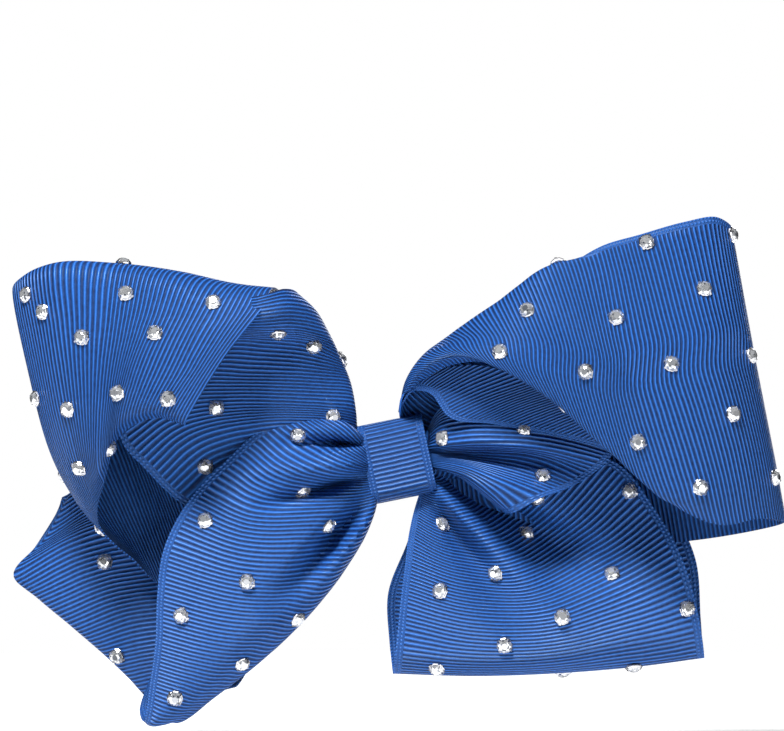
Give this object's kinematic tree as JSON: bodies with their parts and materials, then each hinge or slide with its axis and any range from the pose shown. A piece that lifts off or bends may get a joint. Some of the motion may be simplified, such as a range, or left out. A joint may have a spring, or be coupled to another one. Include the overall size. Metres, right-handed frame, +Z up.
{
  "type": "cheer hair bow",
  "caption": "Large stiff grosgrain hair bow with looped ribbon gathered in a wrapped knot, crystals set over its outer face, and an alligator clip behind that opens to grip the hair.",
  "frame": {"origin": "middle of the knot seen from the front, on the gripping line between the clip's jaws", "axes": "+X to the right and +Z up as the bow is seen when worn, front facing -Y, clip behind at +Y"},
  "size_m": [0.1964, 0.0495, 0.1253],
  "materials": {
    "grosgrain": "ribbed royal blue grosgrain with a satin sheen",
    "wrap_ribbon": "narrow ribbed royal blue grosgrain",
    "thread": "waxed polyester thread",
    "crystal": "clear faceted foiled crystal",
    "setting": "bright silver claw setting",
    "clip_steel": "nickel plated stamped steel",
    "spring_wire": "drawn spring wire",
    "pin_steel": "plain steel rivet"
  },
  "bodies": {
    "bow": {"ribbon_gather": "grosgrain", "tie_thread": "thread", "centre_wrap": "wrap_ribbon", "clip_upper_jaw": "clip_steel", "clip_hinge_pin": "pin_steel", "clip_spring": "spring_wire", "ribbon_loop_upper_left": "grosgrain", "settings_upper_left": "setting", "crystals_upper_left": "crystal", "ribbon_loop_upper_right": "grosgrain", "settings_upper_right": "setting", "crystals_upper_right": "crystal", "ribbon_loop_lower_left": "grosgrain", "settings_lower_left": "setting", "crystals_lower_left": "crystal", "ribbon_loop_lower_right": "grosgrain", "settings_lower_right": "setting", "crystals_lower_right": "crystal", "ribbon_loop_rear_left": "grosgrain", "settings_rear_left": "setting", "crystals_rear_left": "crystal"},
    "lower_jaw": {"clip_lower_jaw": "clip_steel"}
  },
  "joints": [
    {"name": "clip_hinge", "type": "hinge", "parent": "bow", "child": "lower_jaw", "pos_m": [-0.015, 0, 0], "axis": [0, 0, 1], "range_deg": [0, 35], "stiffness_Nm_per_rad": 0.2, "springref_deg": -34.38, "deforming": ["clip_spring"]}
  ]
}
